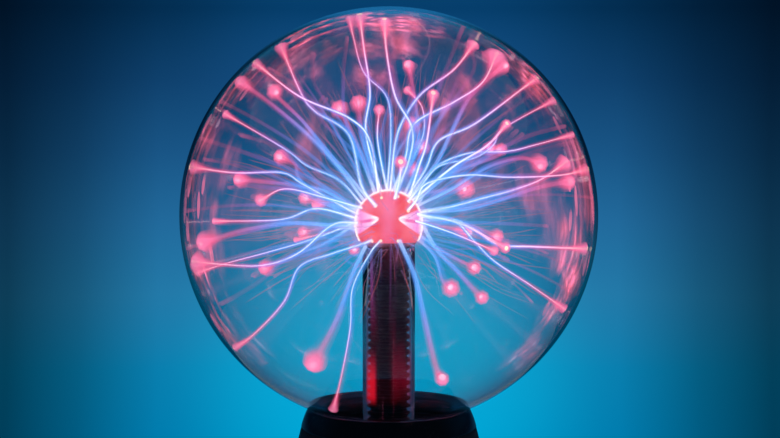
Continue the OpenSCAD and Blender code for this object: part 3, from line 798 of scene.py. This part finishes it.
def strayPath(direction):
    # leaves the bulb, wanders, rises with the warm gas, and meets the glass head on
    end = towards(direction, gas["glassReach"]) + centre
    root = Vector((direction.x, direction.y * 0.2, direction.z + 0.02))
    start = towards(root, gas["rootReach"]) + bulbCentre
    aside = direction.cross(Vector((0, 0, 1))).normalized()
    swing = dice.uniform(-1, 1) * 14 * mm
    sway = dice.uniform(-1, 1) * 9 * mm
    lift = dice.uniform(1, 7) * mm
    path = [start]
    for share in (0.22, 0.45, 0.72, 0.9):
        point = start.lerp(end, share)
        point += aside * (swing * math.sin(share * math.pi) + sway * math.sin(share * 2 * math.pi))
        point += Vector((0, 0, lift * math.sin(share * math.pi)))
        path.append(point)
    path.append(end)
    return path


def smoothLine(path, spacing=gas["spacing"]):
    # a Catmull-Rom line through the path's points
    padded = [path[0] * 2 - path[1], *path, path[-1] * 2 - path[-2]]
    line = []
    for p0, p1, p2, p3 in zip(padded, padded[1:], padded[2:], padded[3:]):
        count = max(2, int((p2 - p1).length / spacing))
        for i in range(count):
            t = i / count
            line.append(0.5 * ((2 * p1) + (p2 - p0) * t + (2 * p0 - 5 * p1 + 4 * p2 - p3) * t * t
                               + (3 * p1 - p0 - 3 * p2 + p3) * t ** 3))
    line.append(path[-1].copy())
    return line


def length(line):
    return sum((b - a).length for a, b in zip(line, line[1:]))


def refined(line):
    # closer points near the glass, where a filament swells to its foot
    finer = []
    left = length(line)
    for a, b in zip(line, line[1:]):
        parts = 1 if left > 15 * mm else 2 if left > 6 * mm else 4
        finer += [a.lerp(b, i / parts) for i in range(parts)]
        left -= (b - a).length
    return finer + [line[-1].copy()]


def swell(left, thin, foot, dome):
    # radius at a distance left from the glass: a long taper, a bowl or a ball, and a dome against the glass
    rise = dome * foot
    if left < rise:
        return foot * (math.sqrt(1 - (1 - left / rise) ** 2) * 0.98 + 0.02)
    power, reach = (1.7, 1.5) if dome > 0.6 else (1.05, 0.85)    # a ball, or a trumpet
    bowl = math.exp(-((left - rise) / (reach * foot)) ** power)
    taper = max(0.0, 1 - (left - rise) / (26 * mm)) ** 1.3
    return thin + (foot - thin) * (0.88 * bowl + 0.12 * taper)


def tubes(name, lines, look, thin, foot, sides=1, swollen=0.25):
    # all filaments of one layer are splines of one curve, which is then made a mesh
    curve = bpy.data.curves.new(name, "CURVE")
    curve.dimensions = "3D"
    curve.bevel_depth = 1.0
    curve.bevel_resolution = sides
    curve.use_fill_caps = True
    for line, scale, footScale, dome in lines:
        spline = curve.splines.new("POLY")
        spline.points.add(len(line) - 1)
        total = length(line)
        gone = 0
        for index, point in enumerate(line):
            if index:
                gone += (point - line[index - 1]).length
            spline.points[index].co = (*point, 1)
            root = 1 + swollen * math.exp(-gone / (2.5 * mm))
            spline.points[index].radius = swell(total - gone, thin * scale * root, foot * footScale, dome)
        spline.use_smooth = True
    piece = bpy.data.objects.new(name, curve)
    bpy.context.scene.collection.objects.link(piece)
    selectOnly(piece)
    bpy.ops.object.convert(target="MESH")
    settleGlow(bpy.context.object, look, look == "core")


def aimed(turn, z, drift=0):
    # a direction from an angle about the vertical and a height on the unit ball
    flatR = math.sqrt(1 - z * z)
    return Vector((flatR * math.cos(turn), flatR * math.sin(turn), z + drift))


# what a stray may be, behind and in front
strayKinds = (("thin", "soft", "soft", "veil", "veil"), ("veil", "veil", "veil", "soft"))
filaments = []
for side, kind, flat in drawn:
    filaments.append((kind, refined(smoothLine(drawnPath(side, flat)))))
golden = math.pi * (3 - math.sqrt(5))    # spreads the strays evenly round the globe
for index in range(gas["strays"]):
    high, low = gas["strayHeights"]
    z = high - (high - low) * (index + 0.5) / gas["strays"]
    turn = index * golden + dice.uniform(-0.3, 0.3)
    direction = aimed(turn, z, dice.uniform(-0.06, 0.06)).normalized()
    if direction.y < -0.72 or direction.z < -0.42:
        continue    # the drawn ones fill the front, and the bottom stays empty
    kinds = strayKinds[0] if direction.y > 0.35 else strayKinds[1]
    filaments.append((dice.choice(kinds), refined(smoothLine(strayPath(direction)))))


def turned(line, angle):
    # the same filament a moment earlier, swung about the vertical and a second axis through the bulb
    spin = Quaternion((0, 0, 1), angle) @ Quaternion((1, 0.3, 0), angle * 0.6)
    return [bulbCentre + spin @ (p - bulbCentre) for p in line]


# each kind's layers: how wide, how wide at the foot, and how tall a dome the foot has
kindLayers = {
    "sharp": {"core": (1, 1, 0.35), "halo": (1, 1, 0.35), "bloom": (1, 1, 0.4)},
    "thin": {"core": (0.5, 0.6, 0.4), "halo": (0.75, 0.7, 0.5), "bloom": (0.7, 0.75, 0.5)},
    "wide": {"core": (0.8, 0.9, 0.45), "halo": (1.2, 1.5, 0.45), "bloom": (1.1, 1.5, 0.5)},
    "soft": {"halo": (1, 1.25, 0.9), "bloom": (1.1, 1.4, 0.9)},
    "veil": {},
}
layers = {"core": [], "halo": [], "bloom": [], "ghost": []}
feet = {"sharp": [], "soft": []}
for kind, line in filaments:
    size = dice.uniform(0.8, 1.2)
    foot = dice.uniform(0.6, 1.1)
    for layer, (wide, footWide, dome) in kindLayers[kind].items():
        layers[layer].append((line, size * wide, foot * footWide, dome))
    if kind in feet:
        feet[kind].append((line[-1], foot))
    spread = dice.choice((-1, 1)) * dice.uniform(0.012, 0.03)
    for step in range(1, 3 if kind == "veil" else 4):
        ghost = turned(line[:-1:2] + line[-1:], spread * step)
        layers["ghost"].append((ghost, dice.uniform(0.5, 1.3), dice.uniform(0.2, 0.7), 0.6))

tubes("filament_cores", layers["core"], "core", 0.38 * mm, 1.2 * mm, 1, 0.7)
tubes("filament_halos", layers["halo"], "halo", 0.75 * mm, 2.1 * mm, 2)
tubes("filament_blooms", layers["bloom"], "bloom", 1.2 * mm, 2.9 * mm, 2)
tubes("filament_glow", layers["bloom"], "bloom", 0.95 * mm, 2.4 * mm, 2)
tubes("filament_mist", layers["bloom"], "mist", 1.6 * mm, 3.4 * mm, 2)
tubes("filament_haze", layers["bloom"], "mist", 2.1 * mm, 3.9 * mm, 2)
tubes("filament_ghosts", layers["ghost"], "ghost", 0.9 * mm, 2.2 * mm)


def wispPath(direction):
    start = direction * dice.uniform(17, 45) * mm
    end = direction * dice.uniform(50, 92) * mm
    aside = direction.orthogonal().normalized()
    middle = (start + end) / 2 + aside * dice.uniform(-5, 5) * mm
    return [bulbCentre + start, bulbCentre + middle, bulbCentre + end]


wisps = []
for index in range(gas["wisps"]):
    z = dice.uniform(-0.5, 1)
    turn = dice.uniform(0, 2 * math.pi)
    wisps.append((smoothLine(wispPath(aimed(turn, z)), 4 * mm), dice.uniform(0.6, 1.6), 0.4, 0.5))
tubes("gas_wisps", wisps, "wisp", 0.22 * mm, 0.3 * mm, 0)

print("sheath and haze")


def sheathLook():
    # thin at the front and back of the bulb, dense round its sides and top
    material, flow = startMaterial("bulbSheath")
    place = objectPlace(flow)
    _, y, _ = place.xyz()
    facing = y.absolute() / bulb["radius"]
    flicker = noise(flow, place, 140.0, 2.0)
    tone = mixColour(flow, flicker, (1.0, 0.68, 0.8), (1.0, 0.88, 0.7))
    alpha = (facing.band(0.27, 0.04) * 0.7 * (0.6 + flicker * 0.8)).clamped()
    return finishGlow(material, flow, tone, 1.6, alpha)


def nested(name, profiles):
    # spun shells, one inside the other, as one piece
    return joined(name, [spunPiece(f"{name}{index}", profile, 96) for index, profile in enumerate(profiles)])


# open caps that end a little above the coating's edge
looks["sheath"] = sheathLook()
sheath = {"shells": 5, "gap": 0.1 * mm, "thick": 0.11 * mm, "end": -30}
radii = [bulb["radius"] + sheath["gap"] + sheath["thick"] * index for index in range(sheath["shells"])]
sheathProfiles = [arc(0, bulb["z"], radius, 90, sheath["end"], 36) for radius in radii]
settleGlow(nested("bulb_sheath", sheathProfiles), "sheath")

# a faint blue cloud round the bulb, flatter than it is wide, and open below so that the stem stays dark
looks["cloud"] = plainGlow("gasCloud", (0.34, 0.5, 0.8), 0.011, 2.0)
cloud = {"inner": 21 * mm, "step": 7 * mm, "shells": 8, "flat": 0.42, "end": -12}


def cloudProfile(width):
    return [(r, bulb["z"] + (z - bulb["z"]) * cloud["flat"])
            for r, z in arc(0, bulb["z"], width, 90, cloud["end"], 24)]


widths = [cloud["inner"] + cloud["step"] * index for index in range(cloud["shells"])]
settleGlow(nested("gas_cloud", [cloudProfile(width) for width in widths]), "cloud", False)

looks["corona"] = plainGlow("bulbCorona", (1.0, 0.25, 0.5), 0.09)
corona = {"gaps": (1.1 * mm, 1.9 * mm, 3.0 * mm), "end": -32}
for index, gap in enumerate(corona["gaps"]):
    profile = arc(0, bulb["z"], bulb["radius"] + gap, 90, corona["end"], 36)
    settleGlow(spunPiece(f"bulb_corona_{index + 1}", profile, 72), "corona")

# painted reflections of the filaments in the glass wall, as upright glowing streaks near the rim
paintedReflection = {
    "reach": 97.6 * mm, "width": 1.5, "depth": 0.5,
    "places": [(94, 6, 8), (92, -4, 6), (91, 15, 5), (-95, 4, 7), (-93, 14, 5), (-90, -20, 6), (84, 44, 5),
               (-72, 60, 5), (42, 84, 4), (80, -48, 5)],    # x, z and half length in mm
}
heart = {"inset": 2.0 * mm, "radii": (1.1 * mm, 1.9 * mm), "shares": (1.0, 0.7, 0.4)}
pad = {"radius": 1.35 * mm, "inset": 0.1 * mm, "depth": 0.28}
root = {
    "radius": 0.75 * mm, "out": 1.02,
    "places": [(-6.1, 5.1), (-3.4, 8.8), (4.3, 9.3), (9.5, 6.9), (9.1, 2.8), (-7.8, -11.2), (-3.7, -11.0),
               (4.3, -11.0)],    # x and z in mm from the middle of the globe
}


def onBall(flat, reach, side):
    # a point seen from the front, moved out to the near or the far side of a ball round the origin
    return Vector((flat.x, side * math.sqrt(max(reach ** 2 - flat.length_squared, 0.0)), flat.z))


def paintedWallReflections():
    # painted reflections of the filaments in the glass wall: upright streaks of glow on the glass, each also
    # on the far side
    pieces = []
    for x, z, half in paintedReflection["places"]:
        for side in (-1, 1):
            out = onBall(Vector((x * mm * side, 0, z * mm)), paintedReflection["reach"], side)
            shape = (paintedReflection["width"], half, paintedReflection["depth"])
            pieces.append(ball(centre + out, mm, out.normalized(), shape, 16, 12))
    return joined("painted_wall_reflections", pieces)


def footHearts():
    # the brighter middle of each soft foot
    pieces = []
    for end, _ in feet["soft"]:
        inward = (centre - end).normalized()
        radius = dice.uniform(*heart["radii"])
        pieces += [ball(end + inward * heart["inset"], radius * share) for share in heart["shares"]]
    return joined("foot_hearts", pieces)


def contactPads():
    # hot flattened pads where the sharp filaments meet the glass
    pieces = []
    for end, foot in feet["sharp"]:
        outward = (end - centre).normalized()
        place = end - outward * pad["inset"]
        pieces.append(ball(place, pad["radius"] * foot, outward, (1, 1, pad["depth"]), 20, 8))
    return joined("contact_pads", pieces)


def rootSpots():
    # hot spots where filaments leave the bulb, mirrored to the back
    pieces = []
    for x, z in root["places"]:
        for side in (-1, 1):
            out = onBall(Vector((x * mm, 0, z * mm)) - (bulbCentre - centre), bulb["radius"], side)
            pieces.append(ball(bulbCentre + out * root["out"], root["radius"]))
    return joined("root_spots", pieces)


def rootLook():
    material, flow = startMaterial("rootSpot")
    warm = noise(flow, objectPlace(flow), 300.0, 2.0)
    return finishGlow(material, flow, mixColour(flow, warm, (1.0, 0.9, 0.45), (1.0, 0.75, 0.6)), 1.2, 0.75)


# an even pink veil for the painted reflections of the filaments in the glass
looks["paintedReflection"] = plainGlow("paintedWallReflection", (1.0, 0.2, 0.36), 0.42)
settleGlow(paintedWallReflections(), "paintedReflection")
looks["heart"] = plainGlow("footHeart", (1.0, 0.55, 0.68), 0.3, 2.0)
settleGlow(footHearts(), "heart")
looks["pad"] = plainGlow("contactPad", (1.0, 0.62, 0.42), 0.75, 1.8)
settleGlow(contactPads(), "pad")
looks["spot"] = rootLook()
settleGlow(rootSpots(), "spot")


def hazeLook():
    # reddish veils on the inside of the globe: blotches and upright streaks, none towards the bottom
    material, flow = startMaterial("wallHaze")
    place = objectPlace(flow)
    x, _, z = place.xyz()
    height = (z - globe["z"]) / globe["radius"]
    side = x.absolute() / globe["radius"]
    bent = noise(flow, place, 16.0, 2.0, out=1)
    warped = flow.node("ShaderNodeVectorMath", {"operation": "MULTIPLY_ADD"},
                       {0: bent, 1: (0.03, 0.03, 0.03), 2: place})
    blotch = noise(flow, stretched(flow, warped, (44.0, 44.0, 26.0)), 1.0, 2.0)
    streak = noise(flow, stretched(flow, warped, (120.0, 120.0, 30.0)), 1.0, 3.0)
    amount = blotch.band(0.52, 0.74) * (0.25 + streak.band(0.45, 0.7))
    edge = (side * side + height * height).band(0.7, 0.97)
    rise = (height + edge * 0.55).band(-0.3, 0.1) * (0.2 + edge * 1.8 + height.band(0.45, 0.95) * 0.45)
    tone = mixColour(flow, streak.band(0.4, 0.75), (1.0, 0.07, 0.06), (1.0, 0.22, 0.42))
    return finishGlow(material, flow, tone, 2.6, (amount * rise * 0.4).clamped())


looks["haze"] = hazeLook()
haze = {"insets": (0.5 * mm, 2.6 * mm, 5.5 * mm), "end": -50}
for index, inset in enumerate(haze["insets"]):
    profile = arc(0, globe["z"], globe["radius"] - globe["wall"] - inset, 90, haze["end"], 60)
    settleGlow(spunPiece(f"wall_haze_{index + 1}", profile, 96), "haze", False)

# the glow and the painted reflections on the inside of the stem's tube
creep = {"gap": 0.4 * mm, "below": 10 * mm, "points": 20, "fade": (98.5 * mm, 104 * mm), "redReflection": -8 * mm}


def stemGlowAndReflectionLook():
    # glow creeping down the stem, violet under the bulb, in upright streaks; the red further down and the
    # bright red strip at the left front are painted reflections of the discharge on the glass
    material, flow = startMaterial("stemGlowAndReflection")
    place = objectPlace(flow)
    x, y, z = place.xyz()
    fall = (coatingLow.z - z) / (coatingLow.z - coverHigh.z)
    streak = noise(flow, stretched(flow, place, (260.0, 260.0, 9.0)), 1.0, 2.0)
    patch = noise(flow, stretched(flow, place, (110.0, 110.0, 28.0)), 1.0, 2.0)
    colour = fall.ramp([(0.0, (0.4, 0.2, 0.7)), (0.3, (0.42, 0.06, 0.38)), (0.55, (0.6, 0.005, 0.1)),
                        (1.0, (0.8, 0.004, 0.02))])
    right = x.band(-1 * mm, 5 * mm)
    amount = 0.015 + streak.band(0.5, 0.72) * (fall.band(0.7, 0.2) * 0.55 + right * 0.12)
    amount = amount + patch.band(0.48, 0.66) * fall.band(0.35, 0.8) * right * 0.2
    # painted reflection: a bright red strip down the left front of the tube
    aside = (x - creep["redReflection"]).absolute()
    redReflection = aside.band(3.2 * mm, 0.8 * mm) * y.band(0, -4 * mm) * fall.band(0.6, 0.85)
    colour = mixColour(flow, redReflection, colour, (1.25, 0.012, 0.04))
    amount = amount + redReflection * (0.4 + streak * 0.7)
    return finishGlow(material, flow, colour, 0.8,
                      (amount * fall.band(-0.02, 0.06) * z.band(*creep["fade"])).clamped())


def creepProfile():
    radius = stem["radius"] - stem["wall"] - creep["gap"]
    step = (coatingLow.z - coverHigh.z + creep["below"]) / creep["points"]
    return [(radius, coatingLow.z - i * step) for i in range(creep["points"] + 1)]


looks["stemGlowAndReflection"] = stemGlowAndReflectionLook()
settleGlow(spunPiece("stem_glow_and_reflection", creepProfile(), 72), "stemGlowAndReflection")

print("stage")
table = {"radius": 0.35, "colour": (0.50, 0.63, 0.72, 1), "roughness": 0.6}
selectOnly()
bpy.ops.mesh.primitive_circle_add(vertices=128, radius=table["radius"], fill_type="NGON", location=(0, 0, 0))
floor = bpy.context.object
floor.name = "paleFloor"
floorLook, flow = startMaterial("paleFloor")
finishMaterial(floorLook, flow, {"Base Color": table["colour"], "Roughness": table["roughness"]})
floor.data.materials.append(floorLook)
floor.visible_glossy = False

backdrop = {
    "sky": [(0.0, (0.0, 0.15, 0.34)), (0.2, (0.0, 0.205, 0.43)), (0.29, (0.003, 0.212, 0.43)),
            (0.384, (0.017, 0.196, 0.40)), (0.478, (0.016, 0.145, 0.335)), (0.568, (0.010, 0.092, 0.24)),
            (0.66, (0.005, 0.053, 0.155)), (0.756, (0.001, 0.026, 0.08)), (0.87, (0.003, 0.045, 0.13)),
            (1.0, (0.006, 0.08, 0.2))],    # from low to high
    "pool": [(0.0, 1.06), (0.2, 1.05), (0.3, 0.98), (0.4, 0.51), (0.487, 0.24), (0.6, 0.3), (1.0, 0.35)],
    "behind": 0.15,    # the share of light behind the viewer
    "top": 0.75,    # what the upper middle gains
    "spotPlace": (0, 0.985, -0.17), "spotColour": (0, 0.165, 0.215),
}
world = bpy.data.worlds.new("studio")
bpy.context.scene.world = world
world.use_nodes = True
world.node_tree.nodes.clear()
flow = Flow(world.node_tree)
direction = flow.node("ShaderNodeTexCoord", out=0)
x, ahead, up = direction.xyz()
sky = ((up + 0.30) / 0.50).ramp(backdrop["sky"])
across = x.absolute() / 0.5
pool = across.ramp(backdrop["pool"])
behind = ahead.band(0.3, -0.3)
pool = pool * (1 + across.band(0.32, 0.1) * up.band(-0.01, 0.08) * backdrop["top"])
pool = pool * (1 - behind) + behind * backdrop["behind"]
away = distance(flow, direction, backdrop["spotPlace"])
spot = mixColour(flow, away.band(0.16, 0.05), (0, 0, 0), backdrop["spotColour"])
sky = flow.node("ShaderNodeVectorMath", {"operation": "SCALE"}, {0: sky, "Scale": pool})
shade = flow.node("ShaderNodeBackground", None, {"Color": mixColour(flow, 1.0, sky, spot, "ADD")})
flow.node("ShaderNodeOutputWorld", None, {0: shade})

# each lamp's place and power
lampSize = 0.9
studio = {"key": ((-0.9, -0.9, 1.3), 3.0), "fill": ((1.1, -0.3, 0.9), 2.6), "rear": ((0.2, 1.2, 1.1), 7.0)}
for name, (place, power) in studio.items():
    lampData = bpy.data.lights.new(name, "AREA")
    lampData.shape = "DISK"
    lampData.size = lampSize
    lampData.energy = power
    lamp = bpy.data.objects.new(name, lampData)
    bpy.context.scene.collection.objects.link(lamp)
    lamp.location = place
    lamp.rotation_euler = (Vector((0, 0, 0.1)) - Vector(place)).to_track_quat("-Z", "Y").to_euler()
    lamp.visible_glossy = False
    lamp.visible_transmission = False

view = {"lens": 70, "distance": 730.5 * mm, "tilt": 3.3, "shift": (0.0016, -0.0042)}
cameraData = bpy.data.cameras.new("camera")
cameraData.lens = view["lens"]
cameraData.sensor_width = 36
cameraData.shift_x, cameraData.shift_y = view["shift"]
camera = bpy.data.objects.new("camera", cameraData)
bpy.context.scene.collection.objects.link(camera)
tilt = math.radians(view["tilt"])
camera.location = centre + Vector((0, -math.cos(tilt), math.sin(tilt))) * view["distance"]
camera.rotation_euler = (math.pi / 2 - tilt, 0, 0)
bpy.context.scene.camera = camera
bpy.context.scene.view_settings.view_transform = "Standard"
bpy.context.scene.cycles.transparent_max_bounces = 128
bpy.context.scene.cycles.max_bounces = 24
bpy.context.scene.cycles.transmission_bounces = 16
